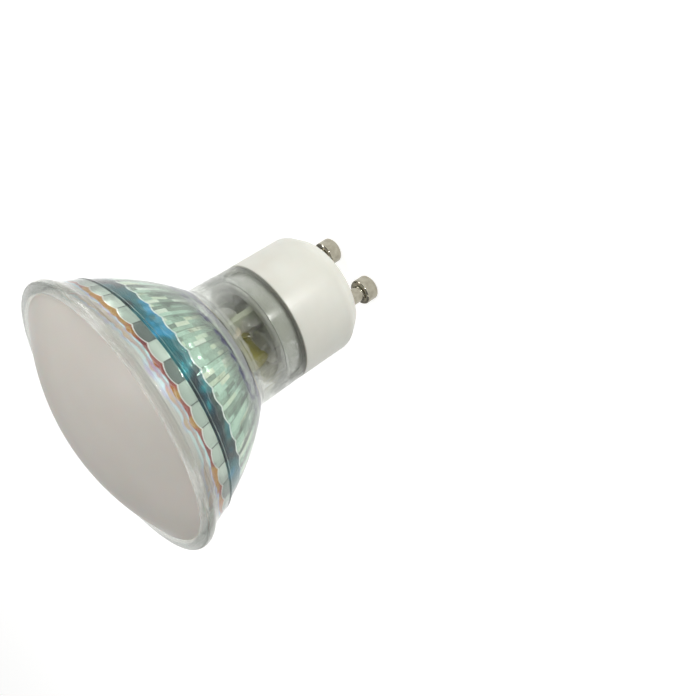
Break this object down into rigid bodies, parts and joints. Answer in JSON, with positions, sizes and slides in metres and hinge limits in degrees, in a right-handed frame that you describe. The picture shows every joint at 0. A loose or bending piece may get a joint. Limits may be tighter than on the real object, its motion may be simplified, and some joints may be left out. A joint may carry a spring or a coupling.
{
  "type": "gu10 spotlight bulb",
  "caption": "Reflector spotlight bulb with a clear fluted glass bowl, a milky domed front cover, a white base and two twist-lock contact pins.",
  "frame": {"origin": "centre of the base's end face, between the two contact pins", "axes": "+Z along the lamp's axis from the pins to the front cover, the two pins on the X axis, the driver board in the YZ plane"},
  "size_m": [0.05, 0.05, 0.0591],
  "materials": {
    "clear_glass": "clear pressed glass with a thin coloured reflecting coat inside",
    "milky_cover": "milky satin diffuser",
    "white_base": "moulded, softly glossy warm white",
    "nickel_plate": "turned and nickel plated",
    "clear_silicone": "set clear silicone",
    "led_board_face": "white solder mask on an aluminium core",
    "led_package": "white package with a pale yellow window",
    "board_laminate": "glass-fibre laminate",
    "can_sleeve": "shrink sleeve on an aluminium can",
    "coil_tape": "polyester tape round a wire winding",
    "black_epoxy": "moulded epoxy",
    "resistor_coat": "baked coating",
    "lead_insulation": "cream insulation"
  },
  "bodies": {
    "root": {"glass_reflector": "clear_glass", "front_cover": "milky_cover", "base_cap": "white_base", "contact_pin_left": "nickel_plate", "contact_pin_right": "nickel_plate", "neck_adhesive": "clear_silicone", "board_adhesive": "clear_silicone", "cover_adhesive": "clear_silicone", "led_board": "led_board_face", "led_01": "led_package", "led_02": "led_package", "led_03": "led_package", "led_04": "led_package", "led_05": "led_package", "led_06": "led_package", "led_07": "led_package", "led_08": "led_package", "led_09": "led_package", "led_10": "led_package", "led_11": "led_package", "led_12": "led_package", "driver_board": "board_laminate", "input_capacitor": "can_sleeve", "output_capacitor": "can_sleeve", "inductor": "coil_tape", "bridge_rectifier": "black_epoxy", "driver_chip": "black_epoxy", "fuse_resistor": "resistor_coat", "sense_resistor_1": "black_epoxy", "sense_resistor_2": "black_epoxy", "start_resistor": "black_epoxy", "filter_capacitor": "resistor_coat", "mains_lead_left": "lead_insulation", "mains_lead_right": "lead_insulation", "led_lead_positive": "lead_insulation", "led_lead_negative": "lead_insulation"}
  },
  "joints": []
}
